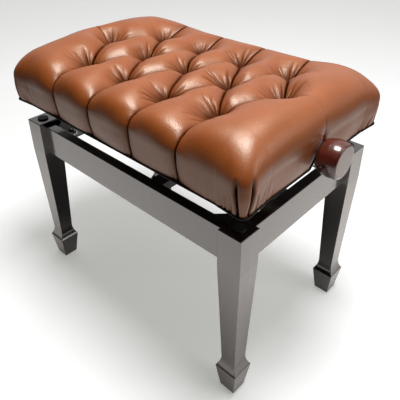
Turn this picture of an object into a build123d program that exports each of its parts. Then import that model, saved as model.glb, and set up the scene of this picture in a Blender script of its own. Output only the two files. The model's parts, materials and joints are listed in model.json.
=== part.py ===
from build123d import *
import math
import os

# An adjustable piano bench. X runs along its length, -Y is the front, Z is up, and the origin is on the
# floor under its centre. All sizes are millimetres. The seat is drawn part of the way up its travel.

# Overall
SEAT_LENGTH = 587.0
SEAT_DEPTH = 386.0
LEG_HEIGHT = 370.0

# Stand
SEAT_OVERHANG_X = 3.5
SEAT_OVERHANG_Y = 5.5
LEG_WIDTH = 45.0
NECK_WIDTH = 30.0
NECK_HEIGHT = 80.0
SPADE_HEIGHT = 55.0
FOOT_WIDTH = 31.0
EDGE_ROUND = 1.2
APRON_HEIGHT = 64.0
APRON_DROP = 7.0
APRON_RECESS = 12.0
APRON_THICKNESS = 20.0
TENON_THICKNESS = 9.0
TENON_SHOULDER = 9.0
TENON_GAP = 0.5
BUMPER_RADIUS = 11.0
BUMPER_HEIGHT = 3.0
BUMPER_ROUND = 1.0

# Corner blocks and their fasteners
BLOCK_HEIGHT = 45.0
BLOCK_DROP = 6.0
BLOCK_THICKNESS = 20.0
BLOCK_GAP = 2.0
BOLT_RADIUS = 4.0
BOLT_DEPTH = 14.0
BOLT_TAIL = 5.0
WASHER_RADIUS = 9.0
WASHER_THICKNESS = 1.6
NUT_RADIUS = 7.4
NUT_THICKNESS = 6.5
SCREW_RADIUS = 2.2
SCREW_HEAD_RADIUS = 4.2
SCREW_HEAD_THICKNESS = 2.4
SCREW_DEPTH = 11.0
BLOCK_SCREW_SPACING = 22.0
BLOCK_SCREW_WOOD = 7.0

# Rails that carry the lift
BATTEN_WIDTH = 25.0
BATTEN_HEIGHT = 16.0
BATTEN_CENTRE = 21.0
CROSS_RAIL_WIDTH = 31.0
CROSS_RAIL_HEIGHT = 18.0
CROSS_RAIL_CENTRE = 28.0
HOUSING_DEPTH = 6.0

# Lift
ARM_CLEARANCE = 90.0
ARM_WIDTH = 24.0
ARM_THICKNESS = 5.0
ARM_GAP = 1.0
AXLE_RADIUS = 4.0
AXLE_HEAD_RADIUS = 6.5
AXLE_HEAD_LENGTH = 3.0
RUNNING_FIT = 0.05
SIDE_PLAY = 0.3
SLOT_PLAY = 0.3
LIFT_PLAY = 0.9
LIFT_OFFSET = 0.46
TRAVEL_DOWN = 45.0
TRAVEL_UP = 55.0
SLOT_MARGIN = 2.0
STEEL = 3.0
BRACKET_HALF_WIDTH = 27.0
BRACKET_OVERHANG = 18.0
BRACKET_SCREW_INSET = 7.0
BRACKET_SCREW_OFFSET = 14.0
PIVOT_RISE = 14.5
FLANGE_OVER_PIVOT = 10.0
SPINDLE_RADIUS = 6.0
TRUNNION_LENGTH = 24.0
TRUNNION_HEIGHT = 24.0
TRUNNION_PIN_RADIUS = 5.0

# Knob
KNOB_RADIUS = 32.0
KNOB_BACK_RADIUS = 26.0
KNOB_FACE_RADIUS = 28.5
KNOB_WIDEST_SHARE = 0.55
KNOB_LENGTH = 37.5
KNOB_FRONT_ROUND = 4.0
KNOB_BACK_ROUND = 3.0
KNOB_GAP = 9.0
KNOB_SOCKET = 25.5
COLLAR_RADIUS = 10.0
COLLAR_LENGTH = 8.0

# Seat
SEAT_CORNER = 10.0
SEAT_LIFT = 48.5
SPINDLE_RISE = 21.3
RAIL_HEIGHT = 38.0
RAIL_THICKNESS = 24.0
BOARD_THICKNESS = 12.0
PAD_THICKNESS = 7.0
PAD_BULGE = 5.0
PAD_MIDDLE_BULGE = 3.5
PAD_RISE = 1.0
SOFT_GAP = 0.3
NOTCH_HALF_WIDTH = 25.0
NOTCH_OVER_SPINDLE = 13.0
CHANNEL_HEIGHT = 30.0
CHANNEL_GAP = 17.5
CHANNEL_SCREW_COUNT = 5
CHANNEL_SCREW_ROOM = 20.0
BEARING_LENGTH = 10.0
BEARING_HEIGHT = 25.0

# Cushion and its tufts
CUSHION_HEIGHT = 49.0
SIDE_RISE = 5.5
SHOULDER_WIDTH = 48.0
SHOULDER_STEPS = 4
SWELL_HEIGHT = 11.0
SWELL_INSET = 47.5
SWELL_WIDTH = 85.0
SWELL_STEPS = 4
CUSHION_CORNER = 22.0
OUTER_TUFTS = 4
MIDDLE_TUFTS = 5
TUFT_END_MARGIN = 78.5
TUFT_EDGE_MARGIN = 89.0
TUFT_DEPTH = 31.0
TUFT_RADIUS = 46.0
TUFT_TIP_RADIUS = 3.0
CREASE_WIDTH = 60.0
CREASE_DEPTH = 14.0
PLEAT_WIDTH = 9.0
PLEAT_DEPTH = 7.0
SIDE_PLEAT_DEPTH = 3.0
TIE_RADIUS = 1.5
TIE_ANCHOR = 6.0
TIE_SHORT = 2.0

# Heights that follow from the sizes above
APRON_TOP = LEG_HEIGHT - APRON_DROP
APRON_BOTTOM = APRON_TOP - APRON_HEIGHT
RAIL_TOP = APRON_BOTTOM + CROSS_RAIL_HEIGHT
PIVOT_Z = RAIL_TOP + PIVOT_RISE
SEAT_BOTTOM = LEG_HEIGHT + SEAT_LIFT
SPINDLE_Z = SEAT_BOTTOM + SPINDLE_RISE
BOARD_BOTTOM = SEAT_BOTTOM + RAIL_HEIGHT
BOARD_TOP = BOARD_BOTTOM + BOARD_THICKNESS
CREST = BOARD_TOP + CUSHION_HEIGHT

# Lengths that follow from the sizes above
STAND_LENGTH = SEAT_LENGTH - 2 * SEAT_OVERHANG_X
STAND_DEPTH = SEAT_DEPTH - 2 * SEAT_OVERHANG_Y
CHANNEL_LENGTH = SEAT_LENGTH - 2 * (PAD_THICKNESS + RAIL_THICKNESS + CHANNEL_GAP)
ARM_LENGTH = CHANNEL_LENGTH - ARM_CLEARANCE
TUFT_PITCH = (SEAT_LENGTH - 2 * TUFT_END_MARGIN) / (MIDDLE_TUFTS - 1)
TUFT_ROW = SEAT_DEPTH / 2 - TUFT_EDGE_MARGIN

# Places that follow from the sizes above
LEG_X = (STAND_LENGTH - LEG_WIDTH) / 2
LEG_Y = (STAND_DEPTH - LEG_WIDTH) / 2
INNER_X = STAND_LENGTH / 2 - APRON_RECESS - APRON_THICKNESS
INNER_Y = STAND_DEPTH / 2 - APRON_RECESS - APRON_THICKNESS
APRON_X = INNER_X + APRON_THICKNESS / 2
APRON_Y = INNER_Y + APRON_THICKNESS / 2
TENON_LENGTH = LEG_WIDTH - APRON_RECESS - (APRON_THICKNESS + TENON_THICKNESS) / 2 - TENON_GAP
FRAME_X = SEAT_LENGTH / 2 - PAD_THICKNESS
FRAME_Y = SEAT_DEPTH / 2 - PAD_THICKNESS
KNOB_X = SEAT_LENGTH / 2 + KNOB_GAP

# The lift's angle as drawn, and how far its sliding ends run
REST_RISE = SPINDLE_Z - PIVOT_Z + LIFT_OFFSET
ARM_ANGLE = math.degrees(math.asin(REST_RISE / ARM_LENGTH))
ARM_SPAN = math.sqrt(ARM_LENGTH**2 - REST_RISE**2)
LOW_SPAN = math.sqrt(ARM_LENGTH**2 - (REST_RISE - TRAVEL_DOWN) ** 2)
HIGH_SPAN = math.sqrt(ARM_LENGTH**2 - (REST_RISE + TRAVEL_UP) ** 2)
FIXED_X = -ARM_SPAN / 2
SLIDE_LOW_X = FIXED_X + HIGH_SPAN - SLOT_MARGIN
SLIDE_HIGH_X = FIXED_X + LOW_SPAN + SLOT_MARGIN
INNER_ARM_Y = BRACKET_HALF_WIDTH + ARM_GAP
OUTER_ARM_Y = INNER_ARM_Y + ARM_THICKNESS + ARM_GAP

CORNERS = {"front_left": (-1, -1), "front_right": (1, -1), "back_left": (-1, 1), "back_right": (1, 1)}
SIDES = {"front": -1, "back": 1}
ENDS = {"left": -1, "right": 1}


def block(x0, x1, y0, y1, z0, z1):
    """A box between two corners."""
    centre = Pos((x0 + x1) / 2, (y0 + y1) / 2, (z0 + z1) / 2)
    return centre * Box(abs(x1 - x0), abs(y1 - y0), abs(z1 - z0))


def rod_x(radius, x0, x1, y, z):
    """A round bar along X."""
    return Pos((x0 + x1) / 2, y, z) * Rot(0, 90, 0) * Cylinder(radius, abs(x1 - x0))


def rod_y(radius, y0, y1, x, z):
    """A round bar along Y."""
    return Pos(x, (y0 + y1) / 2, z) * Rot(90, 0, 0) * Cylinder(radius, abs(y1 - y0))


def rod_z(radius, z0, z1, x, y):
    """A round bar along Z."""
    return Pos(x, y, (z0 + z1) / 2) * Cylinder(radius, abs(z1 - z0))


def to_corner(shape, side_x, side_y):
    """Mirror a shape drawn at the +X +Y corner to another corner."""
    if side_x < 0:
        shape = mirror(shape, about=Plane.YZ)
    if side_y < 0:
        shape = mirror(shape, about=Plane.XZ)
    return shape


def save(name, *shapes):
    """Write one node: a solid, or a group of separate solids."""
    solids = [solid for shape in shapes for solid in shape.solids()]
    whole = solids[0] if len(solids) == 1 else Compound(children=solids)
    export_step(whole, f"parts/{name}.step")


def screw_z(x, y, seat, direction):
    """A wood screw along Z: its head stands on the face at seat, its shank goes the given way."""
    shank = rod_z(SCREW_RADIUS, seat, seat + direction * SCREW_DEPTH, x, y)
    head = rod_z(SCREW_HEAD_RADIUS, seat, seat - direction * SCREW_HEAD_THICKNESS, x, y)
    return shank + head


def screw_hole_z(x, y, seat, direction):
    """The hole that a wood screw's shank fills."""
    return rod_z(SCREW_RADIUS, seat, seat + direction * SCREW_DEPTH, x, y)


# Legs

def leg_outline():
    """Half of the leg's outline on each side: foot, spade ridge, cove, neck, taper and head."""
    half = LEG_WIDTH / 2
    neck = NECK_WIDTH / 2
    foot = FOOT_WIDTH / 2
    cove = NECK_HEIGHT - SPADE_HEIGHT
    flare = half - neck
    radius = (flare**2 + cove**2) / (2 * flare)
    turn = math.asin(cove / radius) / 2
    bend_x = neck + radius * (1 - math.cos(turn))
    bend_z = NECK_HEIGHT - radius * math.sin(turn)
    lines = []
    for side in (1, -1):
        lines.append(Line((0, 0), (side * foot, 0)))
        lines.append(Line((side * foot, 0), (side * half, SPADE_HEIGHT)))
        ridge = (side * half, SPADE_HEIGHT)
        lines.append(ThreePointArc(ridge, (side * bend_x, bend_z), (side * neck, NECK_HEIGHT)))
        lines.append(Line((side * neck, NECK_HEIGHT), (side * half, APRON_BOTTOM)))
        lines.append(Line((side * half, APRON_BOTTOM), (side * half, LEG_HEIGHT)))
        lines.append(Line((side * half, LEG_HEIGHT), (0, LEG_HEIGHT)))
    return make_face(lines)


def plain_leg():
    """The outline cut through from the front and from the side, so all four faces taper alike."""
    front = extrude(Plane.XZ * leg_outline(), LEG_WIDTH / 2, both=True)
    side = extrude(Plane.YZ * leg_outline(), LEG_WIDTH / 2, both=True)
    leg = front & side
    return fillet(leg.edges().group_by(Axis.Z)[-1], EDGE_ROUND)


def long_tenon():
    """The front and back aprons' tenon at the +X +Y corner."""
    shoulder = LEG_X - LEG_WIDTH / 2
    low = APRON_BOTTOM + TENON_SHOULDER
    high = APRON_TOP - TENON_SHOULDER
    half = TENON_THICKNESS / 2
    return block(shoulder, shoulder + TENON_LENGTH, APRON_Y - half, APRON_Y + half, low, high)


def short_tenon():
    """The end aprons' tenon at the +X +Y corner."""
    shoulder = LEG_Y - LEG_WIDTH / 2
    low = APRON_BOTTOM + TENON_SHOULDER
    high = APRON_TOP - TENON_SHOULDER
    half = TENON_THICKNESS / 2
    return block(APRON_X - half, APRON_X + half, shoulder, shoulder + TENON_LENGTH, low, high)


# Corner blocks

LEG_INNER_X = LEG_X - LEG_WIDTH / 2
LEG_INNER_Y = LEG_Y - LEG_WIDTH / 2
BLOCK_TOP = APRON_TOP - BLOCK_DROP
BLOCK_BOTTOM = BLOCK_TOP - BLOCK_HEIGHT
BLOCK_MIDDLE = (BLOCK_TOP + BLOCK_BOTTOM) / 2
BLOCK_NEAR = LEG_INNER_X + LEG_INNER_Y - BLOCK_GAP * math.sqrt(2)
BLOCK_FAR = BLOCK_NEAR - BLOCK_THICKNESS * math.sqrt(2)


def diagonal_rod(radius, start, end):
    """A round bar along the corner's diagonal; start and end are measured inward from the leg's edge."""
    middle = (start + end) / 2 / math.sqrt(2)
    place = Pos(LEG_INNER_X - middle, LEG_INNER_Y - middle, BLOCK_MIDDLE)
    return place * Rot(0, 0, 45) * Rot(0, 90, 0) * Cylinder(radius, abs(end - start))


def corner_bolt():
    """The bolt that draws the leg into the corner, with its washer and nut on the block."""
    face = BLOCK_GAP + BLOCK_THICKNESS
    shaft = diagonal_rod(BOLT_RADIUS, -BOLT_DEPTH, face + WASHER_THICKNESS + NUT_THICKNESS + BOLT_TAIL)
    washer = diagonal_rod(WASHER_RADIUS, face, face + WASHER_THICKNESS)
    nut_middle = (face + WASHER_THICKNESS + NUT_THICKNESS / 2) / math.sqrt(2)
    place = Pos(LEG_INNER_X - nut_middle, LEG_INNER_Y - nut_middle, BLOCK_MIDDLE)
    hexagon = extrude(RegularPolygon(NUT_RADIUS, 6), NUT_THICKNESS / 2, both=True)
    nut = place * Rot(0, 0, 45) * Rot(0, 90, 0) * hexagon
    return shaft + washer + nut


def block_screw_places():
    """Centre heights and the distance along each apron of the corner block's screws."""
    heights = [BLOCK_MIDDLE - BLOCK_SCREW_SPACING / 2, BLOCK_MIDDLE + BLOCK_SCREW_SPACING / 2]
    along_x = BLOCK_NEAR - INNER_Y - BLOCK_THICKNESS * math.sqrt(2) / 2
    along_y = BLOCK_NEAR - INNER_X - BLOCK_THICKNESS * math.sqrt(2) / 2
    return heights, along_x, along_y


def block_screws(shank_radius, head_radius, head_length):
    """The four screws of a block at the +X +Y corner, or the holes for them."""
    heights, along_x, along_y = block_screw_places()
    seat_y = INNER_Y - BLOCK_SCREW_WOOD
    seat_x = INNER_X - BLOCK_SCREW_WOOD
    screws = []
    for z in heights:
        into_long = rod_y(shank_radius, seat_y, seat_y + SCREW_DEPTH, along_x, z)
        screws.append(into_long + rod_y(head_radius, seat_y - head_length, seat_y, along_x, z))
        into_short = rod_x(shank_radius, seat_x, seat_x + SCREW_DEPTH, along_y, z)
        screws.append(into_short + rod_x(head_radius, seat_x - head_length, seat_x, along_y, z))
    return screws


def corner_block():
    """A diagonal glue block across the inside of a corner, counterbored for its screws."""
    points = [
        (BLOCK_NEAR - INNER_Y, INNER_Y),
        (INNER_X, BLOCK_NEAR - INNER_X),
        (INNER_X, BLOCK_FAR - INNER_X),
        (BLOCK_FAR - INNER_Y, INNER_Y),
    ]
    body = Pos(0, 0, BLOCK_BOTTOM) * extrude(make_face(Polyline(*points, close=True)), BLOCK_HEIGHT)
    body -= diagonal_rod(BOLT_RADIUS, -BOLT_DEPTH, BLOCK_GAP + 2 * BLOCK_THICKNESS)
    for hole in block_screws(SCREW_RADIUS, SCREW_HEAD_RADIUS + SIDE_PLAY, BLOCK_THICKNESS * 2):
        body -= hole
    return body


# Stand

def make_stand():
    leg = Pos(LEG_X, LEG_Y, 0) * plain_leg()
    leg -= long_tenon()
    leg -= short_tenon()
    leg -= diagonal_rod(BOLT_RADIUS, -BOLT_DEPTH, BLOCK_GAP)
    bumper = rod_z(BUMPER_RADIUS, LEG_HEIGHT, LEG_HEIGHT + BUMPER_HEIGHT, LEG_X, LEG_Y)
    bumper = fillet(bumper.edges().group_by(Axis.Z)[-1], BUMPER_ROUND)
    glue_block = corner_block()
    bolts = []
    screws = []
    for name, (side_x, side_y) in CORNERS.items():
        save(f"leg_{name}", to_corner(leg, side_x, side_y))
        save(f"bumper_{name}", to_corner(bumper, side_x, side_y))
        save(f"corner_block_{name}", to_corner(glue_block, side_x, side_y))
        bolts.append(to_corner(corner_bolt(), side_x, side_y))
        for screw in block_screws(SCREW_RADIUS, SCREW_HEAD_RADIUS, SCREW_HEAD_THICKNESS):
            screws.append(to_corner(screw, side_x, side_y))
    save("leg_bolts", *bolts)
    save("corner_screws", *screws)


def rounded_rail(x0, x1, y0, y1, along):
    """An apron's board with its long edges eased."""
    rail = block(x0, x1, y0, y1, APRON_BOTTOM, APRON_TOP)
    return fillet(rail.edges().filter_by(along), EDGE_ROUND)


def make_aprons():
    reach_x = LEG_INNER_X
    reach_y = LEG_INNER_Y
    holes = block_screws(SCREW_RADIUS, SCREW_RADIUS, SCREW_HEAD_THICKNESS)
    long_apron = rounded_rail(-reach_x, reach_x, INNER_Y, INNER_Y + APRON_THICKNESS, Axis.X)
    short_apron = rounded_rail(INNER_X, INNER_X + APRON_THICKNESS, -reach_y, reach_y, Axis.Y)
    for side in (1, -1):
        long_apron += to_corner(long_tenon(), side, 1)
        short_apron += to_corner(short_tenon(), 1, side)
        for hole in holes:
            long_apron -= to_corner(hole, side, 1)
            short_apron -= to_corner(hole, 1, side)
    long_apron -= plain_cross_rail()
    for name, side in SIDES.items():
        save(f"apron_{name}", to_corner(long_apron, 1, side))
        short_apron -= plain_batten(side)
    for name, side in ENDS.items():
        save(f"apron_{name}", to_corner(short_apron, side, 1))


# Rails under the lift

def plain_batten(side):
    """A long rail from end apron to end apron, let into both."""
    reach = INNER_X + HOUSING_DEPTH
    y = side * BATTEN_CENTRE
    half = BATTEN_WIDTH / 2
    return block(-reach, reach, y - half, y + half, RAIL_TOP - BATTEN_HEIGHT, RAIL_TOP)


def plain_cross_rail():
    """A rail from front to back, let into the long aprons."""
    reach = INNER_Y + HOUSING_DEPTH
    half = CROSS_RAIL_WIDTH / 2
    low = RAIL_TOP - CROSS_RAIL_HEIGHT
    return block(CROSS_RAIL_CENTRE - half, CROSS_RAIL_CENTRE + half, -reach, reach, low, RAIL_TOP)


def bracket_screw_places():
    """Where the two lower brackets are screwed to the battens."""
    places = []
    y = BRACKET_HALF_WIDTH - STEEL - BRACKET_SCREW_INSET
    for x in (FIXED_X, (SLIDE_LOW_X + SLIDE_HIGH_X) / 2):
        for step in (-1, 1):
            for side in (-1, 1):
                places.append((x + step * BRACKET_SCREW_OFFSET, side * y))
    return places


def make_rails():
    """The two battens and the cross rail, halved into each other where they cross."""
    halving = RAIL_TOP - BATTEN_HEIGHT / 2
    upper = block(-STAND_LENGTH, STAND_LENGTH, -STAND_DEPTH, STAND_DEPTH, halving, RAIL_TOP)
    cross_rail = plain_cross_rail()
    web_top = RAIL_TOP + STEEL
    for name, side in SIDES.items():
        batten = plain_batten(side)
        crossing = batten & plain_cross_rail()
        cross_rail -= crossing & upper
        batten -= crossing - upper
        for x, y in bracket_screw_places():
            batten -= screw_hole_z(x, y, web_top, -1)
        save(f"batten_{name}", batten)
    save("cross_rail", cross_rail)
    save("bracket_screws", *[screw_z(x, y, web_top, -1) for x, y in bracket_screw_places()])


# Lift

def u_bracket(x0, x1):
    """A folded steel bracket on the battens: a web with two upright flanges."""
    top = PIVOT_Z + FLANGE_OVER_PIVOT
    half = BRACKET_HALF_WIDTH
    outer = block(x0, x1, -half, half, RAIL_TOP, top)
    outer -= block(x0, x1, -half + STEEL, half - STEEL, RAIL_TOP + STEEL, top)
    for x, y in bracket_screw_places():
        outer -= rod_z(SCREW_RADIUS, RAIL_TOP, RAIL_TOP + STEEL, x, y)
    return outer


def slot_y(radius, x0, x1, z, half_width):
    """A slot through both flanges for a bar that slides along X."""
    middle = block(x0, x1, -half_width, half_width, z - radius, z + radius)
    for x in (x0, x1):
        middle += rod_y(radius, -half_width, half_width, x, z)
    return middle


def headed_axle(x, z, outer_face):
    """An axle through both sides of the lift, with a head past the outermost arm on each side."""
    face = outer_face + SIDE_PLAY
    axle = rod_y(AXLE_RADIUS, -face, face, x, z)
    for side in (-1, 1):
        axle += rod_y(AXLE_HEAD_RADIUS, side * face, side * (face + AXLE_HEAD_LENGTH), x, z)
    return axle


def arm(side, inner_face, angle, start_hole, middle_hole, end_hole):
    """A flat bar with round ends, drawn along X from its first hole and turned up by angle."""
    y0 = side * inner_face
    y1 = side * (inner_face + ARM_THICKNESS)
    half = ARM_WIDTH / 2
    bar = block(0, ARM_LENGTH, y0, y1, -half, half)
    bar += rod_y(half, y0, y1, 0, 0)
    bar += rod_y(half, y0, y1, ARM_LENGTH, 0)
    bar -= rod_y(start_hole, y0, y1, 0, 0)
    bar -= rod_y(middle_hole, y0, y1, ARM_LENGTH / 2, 0)
    bar -= rod_y(end_hole, y0, y1, ARM_LENGTH, 0)
    return Rot(0, -angle, 0) * bar


def make_lower_lift():
    """The brackets on the battens: a fixed pivot on the left, a track for the sliding axle on the right."""
    fixed = u_bracket(FIXED_X - BRACKET_OVERHANG, FIXED_X + BRACKET_OVERHANG)
    axle = headed_axle(FIXED_X, PIVOT_Z, INNER_ARM_Y + ARM_THICKNESS)
    track = u_bracket(SLIDE_LOW_X - BRACKET_OVERHANG, SLIDE_HIGH_X + BRACKET_OVERHANG)
    track -= slot_y(AXLE_RADIUS + SLOT_PLAY, SLIDE_LOW_X, SLIDE_HIGH_X, PIVOT_Z, BRACKET_HALF_WIDTH)
    save("lower_pivot", fixed - axle)
    save("lower_track", track)
    save("lower_axle", axle)


def make_arms():
    """The two pairs of crossed arms with the axles that belong to them."""
    pivot_hole = AXLE_RADIUS + RUNNING_FIT
    open_hole = AXLE_RADIUS + LIFT_PLAY
    pin_hole = TRUNNION_PIN_RADIUS + RUNNING_FIT
    slide_x = FIXED_X + ARM_SPAN
    top_z = PIVOT_Z + REST_RISE
    for name, side in SIDES.items():
        rising = arm(side, INNER_ARM_Y, ARM_ANGLE, pivot_hole, AXLE_RADIUS, pin_hole)
        save(f"arm_rising_{name}", Pos(FIXED_X, 0, PIVOT_Z) * rising)
        falling = arm(side, OUTER_ARM_Y, -ARM_ANGLE, open_hole, pivot_hole, AXLE_RADIUS)
        save(f"arm_falling_{name}", Pos(FIXED_X, 0, top_z) * falling)
    outer_face = OUTER_ARM_Y + ARM_THICKNESS
    save("centre_axle", headed_axle((FIXED_X + slide_x) / 2, (PIVOT_Z + top_z) / 2, outer_face))
    save("slide_axle", headed_axle(slide_x, PIVOT_Z, outer_face))


def make_nut():
    """The threaded block on the spindle, with a pin each side that carries the rising arms."""
    x = FIXED_X + ARM_SPAN
    z = PIVOT_Z + REST_RISE
    half = BRACKET_HALF_WIDTH - STEEL - ARM_GAP
    body = Pos(x, 0, z) * Box(TRUNNION_LENGTH, 2 * half, TRUNNION_HEIGHT)
    face = INNER_ARM_Y + ARM_THICKNESS + SIDE_PLAY
    body += rod_y(TRUNNION_PIN_RADIUS, -face, face, x, z)
    for side in (-1, 1):
        body += rod_y(AXLE_HEAD_RADIUS, side * face, side * (face + AXLE_HEAD_LENGTH), x, z)
    bore = rod_x(SPINDLE_RADIUS + LIFT_PLAY, x - TRUNNION_LENGTH, x + TRUNNION_LENGTH, 0, z)
    save("spindle_nut", body - bore)


# Spindle and knobs

def knob():
    """The right-hand knob: a turned barrel with a flat outer face."""
    back = KNOB_X
    front = KNOB_X + KNOB_LENGTH
    widest = back + KNOB_LENGTH * KNOB_WIDEST_SHARE
    lines = [
        Line((back, 0), (back, KNOB_BACK_RADIUS)),
        ThreePointArc((back, KNOB_BACK_RADIUS), (widest, KNOB_RADIUS), (front, KNOB_FACE_RADIUS)),
        Line((front, KNOB_FACE_RADIUS), (front, 0)),
        Line((front, 0), (back, 0)),
    ]
    body = revolve(make_face(lines), Axis.X)
    rims = body.edges().filter_by(GeomType.CIRCLE).sort_by(Axis.X)
    body = fillet(rims[-1], KNOB_FRONT_ROUND)
    rims = body.edges().filter_by(GeomType.CIRCLE).sort_by(Axis.X)
    body = fillet(rims[0], KNOB_BACK_ROUND)
    body = Pos(0, 0, SPINDLE_Z) * body
    return body - rod_x(SPINDLE_RADIUS, back, back + KNOB_SOCKET, 0, SPINDLE_Z)


def make_spindle():
    reach = KNOB_X + KNOB_SOCKET
    save("spindle", rod_x(SPINDLE_RADIUS, -reach, reach, 0, SPINDLE_Z))
    save("knob_right", knob())
    save("knob_left", to_corner(knob(), -1, 1))
    face = CHANNEL_LENGTH / 2 - BEARING_LENGTH - SIDE_PLAY
    collar = rod_x(COLLAR_RADIUS, face - COLLAR_LENGTH, face, 0, SPINDLE_Z)
    collar -= rod_x(SPINDLE_RADIUS, face - COLLAR_LENGTH, face, 0, SPINDLE_Z)
    save("spindle_collars", collar, to_corner(collar, -1, 1))


# Seat frame

def notch(x0, x1):
    """The arched opening in the seat's ends that the spindle comes out of."""
    top = SPINDLE_Z + NOTCH_OVER_SPINDLE
    spring = top - NOTCH_HALF_WIDTH
    low = min(SEAT_BOTTOM, spring) - PAD_RISE
    arch = block(x0, x1, -NOTCH_HALF_WIDTH, NOTCH_HALF_WIDTH, low, spring)
    return arch + rod_x(NOTCH_HALF_WIDTH, x0, x1, 0, spring)


def channel_screw_places():
    """Where the channel is screwed up into the board, clear of the nut's run and of the left bearing."""
    first = -CHANNEL_LENGTH / 2 + BEARING_LENGTH + CHANNEL_SCREW_ROOM
    last = SLIDE_LOW_X - TRUNNION_LENGTH / 2 - CHANNEL_SCREW_ROOM
    step = (last - first) / (CHANNEL_SCREW_COUNT - 1)
    y = BRACKET_HALF_WIDTH - STEEL - BRACKET_SCREW_INSET
    return [(first + index * step, side * y) for index in range(CHANNEL_SCREW_COUNT) for side in (-1, 1)]


def tuft_places():
    """The tufts' centres: two outer rows and a middle row that has one more."""
    outer = [(index - (OUTER_TUFTS - 1) / 2) * TUFT_PITCH for index in range(OUTER_TUFTS)]
    inner = [(index - (MIDDLE_TUFTS - 1) / 2) * TUFT_PITCH for index in range(MIDDLE_TUFTS)]
    rows = [(-TUFT_ROW, outer), (0, inner), (TUFT_ROW, outer)]
    return [(x, y) for y, row in rows for x in row]


def make_seat_frame():
    """The seat's board on its four rails."""
    board = block(-FRAME_X, FRAME_X, -FRAME_Y, FRAME_Y, BOARD_BOTTOM, BOARD_TOP)
    web_bottom = BOARD_BOTTOM - STEEL
    for x, y in channel_screw_places():
        board -= screw_hole_z(x, y, web_bottom, 1)
    for x, y in tuft_places():
        board -= rod_z(TIE_RADIUS, BOARD_TOP - TIE_ANCHOR, BOARD_TOP, x, y)
    save("seat_board", board)
    inner_x = FRAME_X - RAIL_THICKNESS
    inner_y = FRAME_Y - RAIL_THICKNESS
    for name, side in SIDES.items():
        rail = block(-FRAME_X, FRAME_X, side * inner_y, side * FRAME_Y, SEAT_BOTTOM, BOARD_BOTTOM)
        save(f"seat_rail_{name}", rail)
    for name, side in ENDS.items():
        rail = block(side * inner_x, side * FRAME_X, -inner_y, inner_y, SEAT_BOTTOM, BOARD_BOTTOM)
        save(f"seat_rail_{name}", rail - notch(side * inner_x, side * FRAME_X))


def upper_pin(side):
    """A pin through one flange of the channel, headed inside it and past the falling arm."""
    inner = BRACKET_HALF_WIDTH - STEEL
    outer = OUTER_ARM_Y + ARM_THICKNESS + SIDE_PLAY
    pin = rod_y(AXLE_RADIUS, side * inner, side * outer, FIXED_X, SPINDLE_Z)
    pin += rod_y(AXLE_HEAD_RADIUS, side * outer, side * (outer + AXLE_HEAD_LENGTH), FIXED_X, SPINDLE_Z)
    pin += rod_y(AXLE_HEAD_RADIUS, side * (inner - AXLE_HEAD_LENGTH), side * inner, FIXED_X, SPINDLE_Z)
    return pin


def make_channel():
    """The steel channel under the board that holds the spindle's bearings and guides the nut."""
    half = BRACKET_HALF_WIDTH
    reach = CHANNEL_LENGTH / 2
    low = BOARD_BOTTOM - CHANNEL_HEIGHT
    web_bottom = BOARD_BOTTOM - STEEL
    pins = [upper_pin(side) for side in (-1, 1)]
    gap = TRUNNION_PIN_RADIUS + LIFT_PLAY
    channel = block(-reach, reach, -half, half, low, BOARD_BOTTOM)
    channel -= block(-reach, reach, -half + STEEL, half - STEEL, low, web_bottom)
    for pin in pins:
        channel -= pin
    channel -= slot_y(gap, SLIDE_LOW_X, SLIDE_HIGH_X, SPINDLE_Z, half)
    for x, y in channel_screw_places():
        channel -= rod_z(SCREW_RADIUS, web_bottom, BOARD_BOTTOM, x, y)
    save("lift_channel", channel)
    save("upper_pins", *pins)
    save("channel_screws", *[screw_z(x, y, web_bottom, 1) for x, y in channel_screw_places()])
    inner = half - STEEL
    bearing = block(reach - BEARING_LENGTH, reach, -inner, inner, web_bottom - BEARING_HEIGHT, web_bottom)
    bearing -= rod_x(SPINDLE_RADIUS + RUNNING_FIT, reach - BEARING_LENGTH, reach, 0, SPINDLE_Z)
    for name, side in ENDS.items():
        save(f"bearing_{name}", to_corner(bearing, side, 1))


# Upholstery

def rounded_plan(grow, corner, z):
    """The seat's outline at a height, larger than at its bottom edge by grow on every side."""
    return Pos(0, 0, z) * RectangleRounded(SEAT_LENGTH + 2 * grow, SEAT_DEPTH + 2 * grow, corner)


def side_pad_ring():
    """The padded sides: drawn in at the bottom edge, full at the top, hollow for the seat's frame."""
    low = SEAT_BOTTOM + PAD_RISE
    middle = (low + BOARD_TOP) / 2
    sections = [
        rounded_plan(0, SEAT_CORNER, low),
        rounded_plan(PAD_MIDDLE_BULGE, (SEAT_CORNER + CUSHION_CORNER) / 2, middle),
        rounded_plan(PAD_BULGE, CUSHION_CORNER, BOARD_TOP),
    ]
    x = FRAME_X + SOFT_GAP
    y = FRAME_Y + SOFT_GAP
    return loft(sections, ruled=True) - block(-x, x, -y, y, SEAT_BOTTOM, BOARD_TOP + SOFT_GAP)


def end_swell(x):
    """How far the cushion swells above the middle of its top, at a place along the seat."""
    ridge = SEAT_LENGTH / 2 - SWELL_INSET
    return SWELL_HEIGHT * math.exp(-(((abs(x) - ridge) / SWELL_WIDTH) ** 2))


def pleat(start, end, width, depth):
    """A V-shaped crease in the cushion's top along the line from start to end."""
    start_swell = end_swell(start[0])
    rise = end_swell(end[0]) - start_swell
    level = math.dist(start, end)
    turn = math.degrees(math.atan2(end[1] - start[1], end[0] - start[0]))
    pitch = math.degrees(math.atan2(rise, level))
    half = width / 2 * (depth + SWELL_HEIGHT) / depth
    section = make_face(Polyline((-half, SWELL_HEIGHT), (half, SWELL_HEIGHT), (0, -depth), close=True))
    groove = extrude(Plane.YZ * section, math.hypot(level, rise))
    return Pos(start[0], start[1], CREST + start_swell) * Rot(0, 0, turn) * Rot(0, -pitch, 0) * groove


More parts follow.
